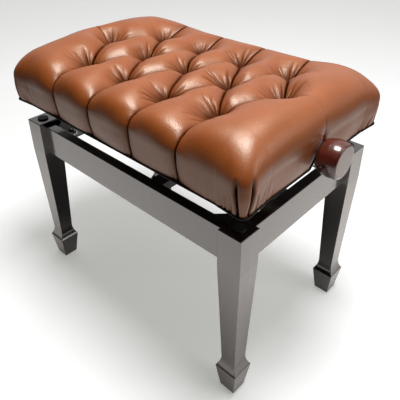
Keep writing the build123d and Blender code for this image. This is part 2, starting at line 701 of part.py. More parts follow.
def side_creases():
    """Upright creases in the padded sides, below each tuft that is next to an edge."""
    face_x = SEAT_LENGTH / 2 + PAD_BULGE
    face_y = SEAT_DEPTH / 2 + PAD_BULGE
    half = PLEAT_WIDTH / 2
    creases = []
    for x, y in tuft_places():
        if y != 0:
            side = 1 if y > 0 else -1
            tip = (x, side * (face_y - SIDE_PLEAT_DEPTH))
            creases.append([(x - half, side * face_y), (x + half, side * face_y), tip])
    for side in (-1, 1):
        tip = (side * (face_x - SIDE_PLEAT_DEPTH), 0)
        creases.append([(side * face_x, -half), (side * face_x, half), tip])
    height = BOARD_TOP - SEAT_BOTTOM
    faces = [make_face(Polyline(*points, close=True)) for points in creases]
    return [Pos(0, 0, SEAT_BOTTOM) * extrude(face, height) for face in faces]


def make_side_pads():
    """The padded sides, one strip along each side of the seat, mitred at the corners."""
    ring = side_pad_ring()
    for crease in side_creases():
        ring -= crease
    reach = SEAT_LENGTH
    mitre = (SEAT_LENGTH - SEAT_DEPTH) / 2
    gap = SOFT_GAP
    height = BOARD_TOP - SEAT_BOTTOM
    for name, side in SIDES.items():
        far = side * (reach - mitre)
        points = [(gap - mitre, 0), (mitre - gap, 0), (reach - gap, far), (gap - reach, far)]
        wedge = Pos(0, 0, SEAT_BOTTOM) * extrude(make_face(Polyline(*points, close=True)), height)
        save(f"side_pad_{name}", ring & wedge)
    for name, side in ENDS.items():
        far = side * reach
        points = [(side * mitre, 0), (far, mitre - reach), (far, reach - mitre)]
        wedge = Pos(0, 0, SEAT_BOTTOM) * extrude(make_face(Polyline(*points, close=True)), height)
        opening = notch(side * FRAME_X, side * (SEAT_LENGTH / 2 + 2 * PAD_BULGE))
        save(f"side_pad_{name}", (ring & wedge) - opening)


def tuft_links():
    """Pairs of neighbouring tufts, along the diagonals between the rows."""
    places = tuft_places()
    links = []
    for index, start in enumerate(places):
        for end in places[index + 1:]:
            next_row = math.isclose(end[1] - start[1], TUFT_ROW)
            half_pitch = math.isclose(abs(end[0] - start[0]), TUFT_PITCH / 2)
            if next_row and half_pitch:
                links.append((start, end))
    return links


def edge_links():
    """From each tuft that is next to an edge, straight out over that edge."""
    links = []
    for x, y in tuft_places():
        if y != 0:
            links.append(((x, y), (x, math.copysign(SEAT_DEPTH, y))))
    end_tuft = (MIDDLE_TUFTS - 1) / 2 * TUFT_PITCH
    for side in (-1, 1):
        links.append(((side * end_tuft, 0), (side * SEAT_LENGTH, 0)))
    return links


def cushion_section(inset):
    """The plain cushion's outline across the seat, at a distance in from its right-hand end."""
    low = BOARD_TOP + SOFT_GAP
    straight = low + SIDE_RISE
    x = SEAT_LENGTH / 2 + PAD_BULGE - inset
    short = max(CUSHION_CORNER - inset, 0)
    half = SEAT_DEPTH / 2 + PAD_BULGE - CUSHION_CORNER + math.sqrt(CUSHION_CORNER**2 - short**2)
    share = 1 - min(inset / SHOULDER_WIDTH, 1)
    rise = (CREST + end_swell(x) - straight) * math.sqrt(1 - share**2)
    points = [(half, low)]
    for step in range(SHOULDER_STEPS + 1):
        turn = math.radians(90 * step / SHOULDER_STEPS)
        points.append((half - SHOULDER_WIDTH * (1 - math.cos(turn)), straight + rise * math.sin(turn)))
    points += [(-y, z) for y, z in reversed(points)]
    return Pos(x, 0, 0) * (Plane.YZ * make_face(Polyline(*points, close=True)))


def plain_cushion():
    """The cushion before it is tufted: rounded shoulders and a fuller roll across each end."""
    turns = [math.radians(90 * step / SHOULDER_STEPS) for step in range(SHOULDER_STEPS + 1)]
    insets = [SHOULDER_WIDTH * (1 - math.cos(turn)) for turn in turns]
    middle = SEAT_LENGTH / 2 + PAD_BULGE
    step = (middle - SHOULDER_WIDTH) / SWELL_STEPS
    insets += [SHOULDER_WIDTH + step * count for count in range(1, SWELL_STEPS)]
    insets += [middle] + [2 * middle - inset for inset in reversed(insets)]
    return loft([cushion_section(inset) for inset in insets], ruled=True)


def make_cushion():
    """The tufted cushion: the plain form, with sunk tufts and creases between them."""
    cushion = plain_cushion()
    for start, end in tuft_links():
        cushion -= pleat(start, end, CREASE_WIDTH, CREASE_DEPTH)
    for start, end in edge_links():
        cushion -= pleat(start, end, PLEAT_WIDTH, PLEAT_DEPTH)
    low = BOARD_TOP + SOFT_GAP
    tip = CREST - TUFT_DEPTH
    depth = TUFT_DEPTH + SWELL_HEIGHT
    mouth = TUFT_TIP_RADIUS + (TUFT_RADIUS - TUFT_TIP_RADIUS) * depth / TUFT_DEPTH
    ties = []
    for x, y in tuft_places():
        cushion -= Pos(x, y, tip + depth / 2) * Cone(TUFT_TIP_RADIUS, mouth, depth)
        cushion -= rod_z(TIE_RADIUS + SOFT_GAP, low, tip, x, y)
        ties.append(rod_z(TIE_RADIUS, BOARD_TOP - TIE_ANCHOR, tip - TIE_SHORT, x, y))
    save("cushion", cushion)
    save("tuft_ties", *ties)


os.makedirs("parts", exist_ok=True)
make_stand()
make_aprons()
make_rails()
make_lower_lift()
make_arms()
make_nut()
make_spindle()
make_seat_frame()
make_channel()
make_side_pads()
make_cushion()
print("arm angle", round(ARM_ANGLE, 4), "fixed pivot x", round(FIXED_X, 4), "pivot z", PIVOT_Z)
print("arm span", round(ARM_SPAN, 4), "spindle z", round(SPINDLE_Z, 4))
print("top pivot z", round(PIVOT_Z + REST_RISE, 4))
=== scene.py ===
import json
import math

import bpy
import numpy as np
from mathutils import Matrix, Vector


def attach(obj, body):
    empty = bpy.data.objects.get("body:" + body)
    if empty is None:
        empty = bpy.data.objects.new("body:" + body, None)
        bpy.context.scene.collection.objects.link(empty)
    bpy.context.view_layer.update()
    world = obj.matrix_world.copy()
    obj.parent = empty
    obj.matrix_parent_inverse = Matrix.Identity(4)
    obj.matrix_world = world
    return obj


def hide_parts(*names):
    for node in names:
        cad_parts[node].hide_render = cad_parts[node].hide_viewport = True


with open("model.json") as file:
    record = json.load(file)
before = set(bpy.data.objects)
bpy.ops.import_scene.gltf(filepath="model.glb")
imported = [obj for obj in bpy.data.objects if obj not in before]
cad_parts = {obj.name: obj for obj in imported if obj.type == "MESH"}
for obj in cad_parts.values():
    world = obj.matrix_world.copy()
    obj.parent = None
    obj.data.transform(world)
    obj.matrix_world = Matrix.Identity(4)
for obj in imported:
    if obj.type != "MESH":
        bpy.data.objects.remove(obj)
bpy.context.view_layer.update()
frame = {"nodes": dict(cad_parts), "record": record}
scene = bpy.context.scene
scene.view_settings.view_transform = "Standard"
random = np.random.default_rng(11)

# The seat's cover, in metres: its full outer form before the tufts are pulled down
HALF_LENGTH = 0.300
HALF_DEPTH = 0.1972
SHOULDER = 0.055
SHOULDER_POWER = 0.60
CORE_X = HALF_LENGTH - SHOULDER
CORE_Y = HALF_DEPTH - SHOULDER
TOP = 0.5146
WIDE_Z = 0.4630
EDGE_Z = 0.4195
DRAW_IN = 0.005
DRAW_IN_POWER = 1.8
EDGE_OUT = SHOULDER - DRAW_IN
CORNER_DROP = 0.017
CORNER_REACH = 0.136
CORNER_POWER = 2.07
CORNER_RADIUS = 0.0130
CORNER_BULGE = 0.0069
CORNER_BULGE_REACH = 0.035
SHOULDER_CORNER = 0.027
END_ROLL = 0.0142
END_ROLL_X = 0.246
END_ROLL_WIDTH = 0.085
END_ROLL_POWER = 6
DOME = 0.007
DOME_HALF_DEPTH = 0.142
DOME_POWER = 1.5
NOTCH_HALF_WIDTH = 0.027
NOTCH_HEIGHT = 0.033
DRIFT = 0.0022
DRIFT_SIZE = 0.11
DRIFT_FADE = 0.06
WAVE_DEPTH = 0.0008
WAVE_SIZE = 0.09

# The hem under the cover's edge: distance out from the flat top, height and corner radius of each step
INNER_OUT = SHOULDER - 0.0109
INNER_TOP = 0.4690
INNER_CORNER = 0.0006
HEM = [
    (EDGE_OUT - 0.0008, EDGE_Z - 0.0012, CORNER_RADIUS - 0.001),
    (EDGE_OUT - 0.0028, EDGE_Z - 0.0015, CORNER_RADIUS - 0.003),
    (INNER_OUT, EDGE_Z - 0.0012, INNER_CORNER),
    (INNER_OUT, EDGE_Z + 0.01, INNER_CORNER),
    (INNER_OUT, INNER_TOP, INNER_CORNER),
]

# Tufts: pits with a small hole in the middle, eased so that they stay above the ties
TUFT_PITCH = 0.1075
TUFT_ROW = 0.104
TUFT_DEPTH = 0.0265
TUFT_REACH = 0.043
TUFT_RIM = 0.012
PIT_FLOOR = 0.4855
PIT_EASE = 0.002
HOLE_DEPTH = 0.002
HOLE_RADIUS = 0.005

# Gathers in the pits; each pair is the range of a random share
GATHER_COUNT = 17
GATHER_DEPTH = 0.0044
GATHER_REACH = 0.046
GATHER_SHIFT = 0.42
GATHER_DEPTHS = (0.3, 1.3)
GATHER_REACHES = (0.65, 1.2)
GATHER_POWER = 0.9
GATHER_START = 0.003
GATHER_RISE = 0.010

# Creases between the tufts, and pleats from the outer tufts over the edges
CREASE_DEPTH = 0.0030
CREASE_REACH = 0.006
PLEAT_DEPTH = 0.0035
PLEAT_REACH = 0.007
PLEAT_LEAN = 0.005
SLIT_DEPTH = 0.004
SLIT_WIDTH = 0.0009
SLIT_START = 0.010
SLIT_FADE = 0.018
END_PLEAT_SHARE = 0.15
END_PLEAT_START = 0.02
END_PLEAT_FADE = 0.03
END_PLEAT_LOW = 0.012

# Pillows: how they fall off towards the creases, and how the front panels stand up between the pleats
CROWN_DEPTH = 0.019
CROWN_REACH = 0.048
PLEAT_CROWN_REACH = 0.053
FRONT_PLEAT_CROWN = 0.028
BACK_PLEAT_CROWN = 0.015
FRONT_PLEAT_FADE = 0.115
BACK_PLEAT_FADE = 0.060
PLEAT_FADE_POWER = 1.5
PLEAT_SIDE_SHARE = 0.13
SHOULDER_CUT = 0.0045
SHOULDER_CUT_Y = -0.191
SHOULDER_CUT_WIDTH = 0.018
PANEL_RISE = 0.0040
PANEL_RISE_Y = -0.128
PANEL_RISE_WIDTH = 0.032
PANEL_RISE_END = 0.195
PANEL_RISE_FADE = 0.035
PANEL_RISE_REACH = 0.045

# Folds at the corners
FOLD_OFFSET = 0.0125
FOLD_NARROWING = 0.0035
FOLD_TOP = 0.484
FOLD_FADE = 0.02
FOLD_DEPTH = 0.0085
FOLD_REACH = 0.006

# Soft wrinkles and shallow folds low on the sides; each pair is the range of a random value
WRINKLE_COUNT = 7
WRINKLE_DEPTH = 0.0040
WRINKLE_START = 0.018
WRINKLE_REACH = 0.030
WRINKLE_ZONE = 0.1
WRINKLE_RISE = 0.01
WRINKLE_FADE = 0.02
WRINKLE_STEPS = (0.006, 0.012)
WRINKLE_SHARES = (0.5, 1.1)
WRINKLE_WIDTHS = (0.0018, 0.0034)
WRINKLE_LEANS = (-0.15, 0.15)
WRINKLE_TOPS = (-0.002, 0.018)
SIDE_FOLD_OFFSET = 0.009
SIDE_FOLD_DEPTH = 0.0011
SIDE_FOLD_WIDTH = 0.0024
SIDE_FOLD_TOP = WIDE_Z - 0.008
SIDE_FOLD_FADE = 0.03

# All of these sink less in the last rings before the lower edge
EDGE_RINGS = 4
EDGE_SHARE = 0.55

# Painted shade inside the folds: widths, and the strength of each where it is not whole
LINE_SHADE = 0.0021
LINE_SHADE_POWER = 4
BESIDE_SHADE = 0.007
BESIDE_SHADE_SHARE = 0.55
TUFT_SHADE = 0.023
TUFT_SHADE_SHARE = 0.98
END_SHADE = 0.0012
END_SHADE_SHARE = 0.7
CORNER_SHADE = 0.0026
GATHER_SHADE = 1.8
GATHER_SHADE_SHARE = 0.85

# Padding: a cloth simulation blows the pillows out between the creases that hold them
PADDING_STRIDE = 5
PADDING_FRAMES = 20
PADDING_QUALITY = 6
PADDING_PRESSURE = 60.0
PADDING_VERTEX_MASS = 0.1
PADDING_STRETCH = 8.0
PADDING_SHEAR = 3.0
PADDING_BEND = 0.3
PADDING_LIMIT = 0.005
PADDING_SMOOTHING = 4
HELD_SHADE = 0.25
HELD_RISE = 0.004

# Grid of the cover's mesh, and samples of its section
FINE_STEP = 0.0010
COARSE_STEP = 0.0020
FINE_BAND = 0.030
COLUMN_STEP = TUFT_PITCH / 2 / 50
SHOULDER_SAMPLES = 200
SIDE_SAMPLES = 120

# The binding's section as distance out and height, and the stops along each stretch of its path
TRIM_SECTION = [
    (EDGE_OUT + 0.0008, 0.4212),
    (EDGE_OUT + 0.0018, 0.4200),
    (EDGE_OUT + 0.0018, 0.4184),
    (EDGE_OUT + 0.0006, 0.4174),
    (EDGE_OUT - 0.0120, 0.4173),
    (EDGE_OUT - 0.0120, 0.4183),
    (EDGE_OUT - 0.0010, 0.4184),
]
NOTCH_STOPS = 25
END_STOPS = 24
CORNER_STOPS = 25
SIDE_STOPS = 80

# Floor, light and camera
FLOOR_REACH = 14.0
FLOOR_FAR = 2.5
# How strongly the floor glows: to the camera, with a painted shadow near the seat, and in reflections, as
# painted light
FLOOR_GLOW = 0.43
FLOOR_MIRRORED_GLOW = 0.34
WORLD_PALE_WAY = (-0.25, 0.88, 0.40)
WORLD_FRONT = 0.0
WORLD_BACK = 0.66
WORLD_SEEN = 0.88
CAMERA_PLACE = (0.6118, -0.6180, 0.8446)
CAMERA_RIGHT = (0.72893, 0.68451, -0.01067)
CAMERA_DOWN = (0.34096, -0.37651, -0.86139)
CAMERA_FORWARD = (-0.59364, 0.62425, -0.50784)
CAMERA_SENSOR = 36.0
CAMERA_LENS = 44.09
CAMERA_SHIFT = (0.0107, -0.1315)


# Materials

EVEN = (1.0, 1.0, 1.0)


def grey(value):
    """A neutral colour."""
    return (value, value, value)


def new_material(name):
    """A new node material, with its tree and its shader."""
    material = bpy.data.materials.new(name)
    material.use_nodes = True
    tree = material.node_tree
    return material, tree, tree.nodes["Principled BSDF"]


def add_node(tree, kind, inputs=None, **settings):
    """A node with its settings; inputs are constants, or sockets to link from."""
    node = tree.nodes.new(kind)
    for key, value in settings.items():
        setattr(node, key, value)
    for key, value in (inputs or {}).items():
        if isinstance(value, bpy.types.NodeSocket):
            tree.links.new(value, node.inputs[key])
        else:
            node.inputs[key].default_value = value
    return node


def place(tree, scale):
    """Texture coordinates in metres in the object's own frame, scaled along each axis."""
    coordinates = add_node(tree, "ShaderNodeTexCoord")
    inputs = {"Vector": coordinates.outputs["Object"], "Scale": scale}
    return add_node(tree, "ShaderNodeMapping", inputs).outputs["Vector"]


def noise(tree, scale, size, detail=4.0):
    """A noise texture; scale stretches it along each axis and size is its frequency per metre."""
    inputs = {"Vector": place(tree, scale), "Scale": size, "Detail": detail, "Roughness": 0.55}
    return add_node(tree, "ShaderNodeTexNoise", inputs).outputs["Fac"]


def ramp(tree, factor, stops):
    """A colour ramp through stops of (place, colour)."""
    node = add_node(tree, "ShaderNodeValToRGB", {"Fac": factor})
    elements = node.color_ramp.elements
    for index, (position, colour) in enumerate(stops):
        element = elements[index] if index < 2 else elements.new(position)
        element.position = position
        element.color = (*colour, 1.0)
    return node.outputs["Color"]


def multiplied(tree, first, second):
    """The product of two colours; sockets 6, 7 and 2 are the mix node's colours."""
    mixed = add_node(tree, "ShaderNodeMix", data_type="RGBA", blend_type="MULTIPLY")
    mixed.inputs["Factor"].default_value = 1.0
    tree.links.new(first, mixed.inputs[6])
    tree.links.new(second, mixed.inputs[7])
    return mixed.outputs[2]


def mottle(tree, shader, factor, dark, light):
    """A base colour that follows a texture between two colours."""
    tree.links.new(ramp(tree, factor, [(0.3, dark), (0.7, light)]), shader.inputs["Base Color"])


def vary_roughness(tree, shader, factor, low, high):
    """Roughness that follows a texture between two values."""
    tree.links.new(ramp(tree, factor, [(0.3, grey(low)), (0.7, grey(high))]), shader.inputs["Roughness"])


def bump(tree, height, strength, distance, normal=None):
    """A bump from a height socket."""
    inputs = {"Height": height, "Strength": strength, "Distance": distance}
    if normal is not None:
        inputs["Normal"] = normal
    return add_node(tree, "ShaderNodeBump", inputs).outputs["Normal"]


def eased_edges(tree, radius):
    """A normal that rounds sharp edges in the light."""
    return add_node(tree, "ShaderNodeBevel", {"Radius": radius}, samples=6).outputs["Normal"]


def grain_scale(axis, along, across):
    """Texture scales that draw a figure out along one axis."""
    return [along if letter == axis else across for letter in "XYZ"]


def lacquered_wood(name, axis, dark, light, coat):
    """Polished stained wood with its grain along one axis under a clear lacquer."""
    material, tree, shader = new_material(name)
    figure = noise(tree, grain_scale(axis, 0.06, 1.0), 90.0, detail=6.0)
    pores = noise(tree, grain_scale(axis, 0.06, 4.0), 420.0, detail=2.0)
    stripes = ramp(tree, figure, [(0.35, dark), (0.72, light)])
    lines = ramp(tree, pores, [(0.40, grey(0.62)), (0.56, grey(1.0))])
    tree.links.new(multiplied(tree, stripes, lines), shader.inputs["Base Color"])
    waves = noise(tree, EVEN, 45.0, detail=2.0)
    normal = bump(tree, waves, 0.05, 0.002, eased_edges(tree, 0.0012))
    tree.links.new(normal, shader.inputs["Normal"])
    tree.links.new(normal, shader.inputs["Coat Normal"])
    vary_roughness(tree, shader, figure, 0.26, 0.34)
    shader.inputs["Coat Weight"].default_value = 1.0
    shader.inputs["Coat Roughness"].default_value = 0.11
    shader.inputs["Coat IOR"].default_value = coat
    shader.inputs["Coat Tint"].default_value = (1.0, 0.95, 0.92, 1.0)
    return material


def plain_wood(name, axis, dark, light, roughness):
    """Wood with a thin matt finish, for the parts under the seat."""
    material, tree, shader = new_material(name)
    figure = noise(tree, grain_scale(axis, 0.07, 1.0), 130.0, detail=6.0)
    tree.links.new(ramp(tree, figure, [(0.34, dark), (0.68, light)]), shader.inputs["Base Color"])
    normal = bump(tree, figure, 0.25, 0.0006, eased_edges(tree, 0.0008))
    tree.links.new(normal, shader.inputs["Normal"])
    vary_roughness(tree, shader, figure, roughness, roughness + 0.12)
    return material


def painted_steel(name, dark, light, roughness):
    """Steel with a fine black finish."""
    material, tree, shader = new_material(name)
    grain = noise(tree, EVEN, 900.0, detail=2.0)
    cloud = noise(tree, EVEN, 40.0)
    mottle(tree, shader, cloud, dark, light)
    normal = bump(tree, grain, 0.2, 0.0002, eased_edges(tree, 0.0006))
    tree.links.new(normal, shader.inputs["Normal"])
    vary_roughness(tree, shader, cloud, roughness, roughness + 0.1)
    return material


def bare_metal(name, dark, light, roughness):
    """Bare metal with a fine, uneven polish."""
    material, tree, shader = new_material(name)
    polish = noise(tree, EVEN, 700.0, detail=3.0)
    cloud = noise(tree, EVEN, 60.0)
    mottle(tree, shader, cloud, dark, light)
    vary_roughness(tree, shader, polish, roughness, roughness + 0.16)
    normal = bump(tree, polish, 0.12, 0.0001, eased_edges(tree, 0.0004))
    tree.links.new(normal, shader.inputs["Normal"])
    shader.inputs["Metallic"].default_value = 1.0
    return material


def plain_surface(name, dark, light, size, roughness, bump_strength):
    """Rubber, nylon, twine or binding: a mottled colour with a fine rough surface."""
    material, tree, shader = new_material(name)
    cloud = noise(tree, EVEN, size)
    fine = noise(tree, EVEN, 1200.0, detail=2.0)
    mottle(tree, shader, cloud, dark, light)
    vary_roughness(tree, shader, fine, roughness, roughness + 0.1)
    tree.links.new(bump(tree, fine, bump_strength, 0.0003), shader.inputs["Normal"])
    return material


def leather_material():
    """Glossy tan leather: mottled dye, fine pebbled grain, and painted shade that makes it dark and dull
    inside its folds.
    """
    material, tree, shader = new_material("tan_leather")
    cloud = noise(tree, EVEN, 22.0, detail=5.0)
    dye = ramp(tree, cloud, [(0.30, (0.305, 0.073, 0.0135)), (0.70, (0.355, 0.088, 0.0170))])
    # Painted shade: the fold attribute darkens the dye in creases, pits, gathers and corner folds, where
    # shade falls.
    fold = add_node(tree, "ShaderNodeAttribute", attribute_name="fold").outputs["Fac"]
    shade = ramp(tree, fold, [(0.0, grey(1.0)), (1.0, (0.05, 0.02, 0.02))])
    tree.links.new(multiplied(tree, dye, shade), shader.inputs["Base Color"])
    pebbles = add_node(tree, "ShaderNodeTexVoronoi", {"Vector": place(tree, EVEN), "Scale": 520.0})
    grain = bump(tree, pebbles.outputs["Distance"], 0.32, 0.0006)
    tree.links.new(grain, shader.inputs["Normal"])
    tree.links.new(grain, shader.inputs["Coat Normal"])
    vary_roughness(tree, shader, cloud, 0.40, 0.48)
    # The same painted shade takes the coat and most of the specular shine out of the folds.
    gloss = ramp(tree, fold, [(0.0, grey(0.28)), (0.6, grey(0.0))])
    tree.links.new(gloss, shader.inputs["Coat Weight"])
    shader.inputs["Coat Roughness"].default_value = 0.20
    shader.inputs["Coat IOR"].default_value = 1.5
    shine = ramp(tree, fold, [(0.0, grey(0.80)), (0.8, grey(0.06))])
    tree.links.new(shine, shader.inputs["Specular IOR Level"])
    shader.inputs["Specular Tint"].default_value = (1.0, 0.93, 0.74, 1.0)
    return material


DARK_STAIN = ((0.010, 0.0045, 0.0040), (0.022, 0.0095, 0.0080))
INNER_STAIN = ((0.012, 0.007, 0.005), (0.024, 0.014, 0.010))
wood_along = {}
for axis in "XYZ":
    wood_along[axis] = lacquered_wood(f"polished_wood_{axis.lower()}", axis, *DARK_STAIN, 1.95)
inner_wood = {}
for axis in "XY":
    inner_wood[axis] = plain_wood(f"stained_wood_{axis.lower()}", axis, *INNER_STAIN, 0.4)
leather = leather_material()
trim_cloth = plain_surface("trim_cloth", (0.006, 0.005, 0.005), (0.014, 0.011, 0.010), 1500.0, 0.75, 0.4)
slot_materials = {
    "knob_wood": lacquered_wood("polished_knob", "X", (0.095, 0.016, 0.009), (0.150, 0.029, 0.016), 1.55),
    "seat_wood": plain_wood("seat_frame_wood", "X", (0.022, 0.015, 0.011), (0.040, 0.028, 0.020), 0.55),
    "leather": leather,
    "rubber": plain_surface("rubber", grey(0.010), grey(0.018), 120.0, 0.55, 0.15),
    "black_steel": painted_steel("black_steel", (0.010, 0.010, 0.011), (0.018, 0.018, 0.019), 0.38),
    "bright_steel": bare_metal("bright_steel", (0.42, 0.42, 0.43), (0.58, 0.58, 0.59), 0.22),
    "brass": bare_metal("brass", (0.56, 0.38, 0.14), (0.70, 0.50, 0.21), 0.26),
    "nylon": plain_surface("nylon", (0.50, 0.48, 0.42), (0.60, 0.58, 0.52), 90.0, 0.42, 0.05),
    "twine": plain_surface("twine", (0.30, 0.24, 0.15), (0.45, 0.38, 0.26), 900.0, 0.8, 0.4),
}


def node_material(name, slot):
    """The finish of a CAD node, with the wood's grain along the piece."""
    axis = "Y" if name in ("apron_left", "apron_right", "cross_rail") else "X"
    if slot == "polished_wood":
        return wood_along["Z" if name.startswith("leg_") else axis]
    if slot == "inner_wood":
        return inner_wood[axis]
    return slot_materials[slot]


for part in frame["record"]["subparts"]:
    node_mesh = frame["nodes"][part["node"]].data
    node_mesh.materials.clear()
    node_mesh.materials.append(node_material(part["node"], part["material_slot"]))


# The cover's form

def unit(value):
    """A value kept between 0 and 1."""
    return np.clip(value, 0, 1)


def bell(distance, width):
    """1 at no distance, falling off smoothly over a width."""
    return np.exp(-((distance / width) ** 2))


def pillow(distance, reach):
    """1 in a crease, falling to 0 on the full pillow beside it."""
    return 1 - np.sqrt(1 - (1 - unit(distance / reach)) ** 2)


def soft_waves(x, y, size, count=9):
    """A smooth uneven field between about -1 and 1, with bumps of the given size."""
    total = np.zeros(x.shape)
    for _ in range(count):
        heading = random.uniform(0, 2 * math.pi)
        pitch = 2 * math.pi / (size * random.uniform(0.7, 1.5))
        phase = random.uniform(0, 2 * math.pi)
        total += np.sin(pitch * (x * math.cos(heading) + y * math.sin(heading)) + phase)
    return total / math.sqrt(count)


def cover_rings():
    """The section from the flat top's edge out over the shoulder, down the side, and back up inside."""
    turn = np.linspace(0.0, math.pi / 2, SHOULDER_SAMPLES)
    out = SHOULDER * np.sin(turn) ** SHOULDER_POWER
    height = WIDE_Z + (TOP - WIDE_Z) * np.cos(turn) ** SHOULDER_POWER
    drop = np.linspace(0.0, 1.0, SIDE_SAMPLES)[1:]
    out = np.append(out, SHOULDER - DRAW_IN * drop**DRAW_IN_POWER)
    height = np.append(height, WIDE_Z + (EDGE_Z - WIDE_Z) * drop)
    along = np.append(0.0, np.cumsum(np.hypot(np.diff(out), np.diff(height))))
    count = int(round(along[-1] / COARSE_STEP))
    ring = np.linspace(0.0, along[-1], count + 1)[1:]
    ring_out = np.interp(ring, along, out)
    ring_height = np.interp(ring, along, height)
    corner = ring_out * (1 + (ring_out / SHOULDER_CORNER) ** 4) ** -0.25
    lowness = unit((WIDE_Z - ring_height) / (WIDE_Z - EDGE_Z))
    corner = corner * (1 - lowness) + CORNER_RADIUS * lowness
    hem_out, hem_height, hem_corner = np.array(HEM).T
    return {
        "along": np.append(ring, ring[-1] + COARSE_STEP * np.arange(1, len(HEM) + 1)),
        "out": np.append(ring_out, hem_out),
        "height": np.append(ring_height, hem_height),
        "corner": np.append(corner, hem_corner),
        "outer": count,
    }


def even_steps(start, end, step):
    """Grid lines from start up to but not including end."""
    count = max(1, int(math.ceil((end - start) / step - 1e-6)))
    return np.linspace(start, end, count + 1)[:-1]


def grid_lines(rings):
    """The cover's grid lines across and along, finer near the tufts, in the unrolled cover."""
    end_tuft = 2 * TUFT_PITCH
    bands_x = [
        even_steps(0, end_tuft, COLUMN_STEP),
        even_steps(end_tuft, CORE_X, COLUMN_STEP),
        [CORE_X],
    ]
    bands_y = [
        even_steps(0, FINE_BAND, FINE_STEP),
        even_steps(FINE_BAND, TUFT_ROW - FINE_BAND, COARSE_STEP),
        even_steps(TUFT_ROW - FINE_BAND, TUFT_ROW, FINE_STEP),
        even_steps(TUFT_ROW, TUFT_ROW + FINE_BAND, FINE_STEP),
        even_steps(TUFT_ROW + FINE_BAND, CORE_Y, COARSE_STEP),
        [CORE_Y],
    ]
    lines = []
    for bands, core in ((bands_x, CORE_X), (bands_y, CORE_Y)):
        half = np.concatenate(bands)
        side = np.append(half, core + rings["along"])
        number = np.append(np.zeros(len(half), int), np.arange(1, len(rings["along"]) + 1))
        lines.append((np.append(-side[:0:-1], side), np.append(number[:0:-1], number)))
    return lines


def tuft_places():
    """The tufts' centres: two outer rows of four and a middle row of five."""
    outer = (np.arange(4) - 1.5) * TUFT_PITCH
    middle = (np.arange(5) - 2) * TUFT_PITCH
    rows = [(-TUFT_ROW, outer), (0.0, middle), (TUFT_ROW, outer)]
    return [(x, y) for y, row in rows for x in row]


def crease_lines(reach_x, reach_y):
    """Creases in the unrolled cover: diagonals between tufts, and pleats over the long sides and the ends."""
    diagonals = []
    pleats = []
    ends = []
    for x, y in tuft_places():
        if y != 0.0:
            for side in (-1, 1):
                diagonals.append(((x, y), (x + side * TUFT_PITCH / 2, 0.0)))
            pleats.append(((x, y), (x + PLEAT_LEAN, math.copysign(reach_y, y))))
    for side in (-1, 1):
        ends.append(((side * 2 * TUFT_PITCH, 0.0), (side * reach_x, 0.0)))
    return diagonals, pleats, ends


def distance_to(lines, x, y):
    """Distance from each point to the nearest of some straight lines."""
    nearest = np.full(x.shape, 1.0)
    for (x0, y0), (x1, y1) in lines:
        length = (x1 - x0) ** 2 + (y1 - y0) ** 2
        share = unit(((x - x0) * (x1 - x0) + (y - y0) * (y1 - y0)) / length)
        nearest = np.minimum(nearest, np.hypot(x - x0 - share * (x1 - x0), y - y0 - share * (y1 - y0)))
    return nearest


def snap_to(lines, x, rows, columns):
    """Move the nearest point of each row onto each crease, and list the crease's points."""
    paths = []
    for (x0, y0), (x1, y1) in lines:
        low, high = min(y0, y1), max(y0, y1)
        path = []
        for row in np.flatnonzero((rows >= low - 1e-9) & (rows <= high + 1e-9)):
            target = x0 + (x1 - x0) * (rows[row] - y0) / (y1 - y0)
            column = int(np.argmin(np.abs(columns - target)))
            x[row, column] = target
            path.append((row, column))
        paths.append(path)
    return paths


def corner_share(ring_x, ring_y):
    """How far round a corner each point is, from 0 at the end of the seat to 1 at its long side."""
    ring = np.maximum(np.maximum(ring_x, ring_y), 1)
    return np.where(ring_x >= ring_y, ring_y / (2 * ring), 1 - ring_x / (2 * ring))


def corner_place(share, out, radius):
    """Offsets from the flat top's corner, and the distance along the edge from the corner's middle."""
    straight = np.maximum(out - radius, 0)
    arc = radius * math.pi / 2
    travelled = share * (2 * straight + arc)
    turn = np.clip((travelled - straight) / np.maximum(radius, 1e-9), 0, math.pi / 2)
    x = straight + radius * np.cos(turn)
    y = straight + radius * np.sin(turn)
    x = np.where(travelled > straight + arc, straight - (travelled - straight - arc), x)
    y = np.where(travelled < straight, travelled, y)
    return x, y, travelled - straight - arc / 2


def corner_bulge(around, out):
    """How far a corner's box pleat stands out, from the place round the corner and the distance out."""
    return CORNER_BULGE * bell(around, CORNER_BULGE_REACH) * unit(out / SHOULDER) ** 2


def notch_lift(y):
    """How far the lower edge of the seat's ends rises over the spindle."""
    return NOTCH_HEIGHT * np.cos(unit(np.abs(y) / NOTCH_HALF_WIDTH) * math.pi / 2) ** 2


def end_roll(x):
    """The share of the fuller roll that runs across the seat near each end."""
    return bell(np.abs(x) - END_ROLL_X, END_ROLL_WIDTH)


def dome(y):
    """How far the middle of the top stands above its front and back edges."""
    return DOME * unit(1 - (y / DOME_HALF_DEPTH) ** 2) ** DOME_POWER


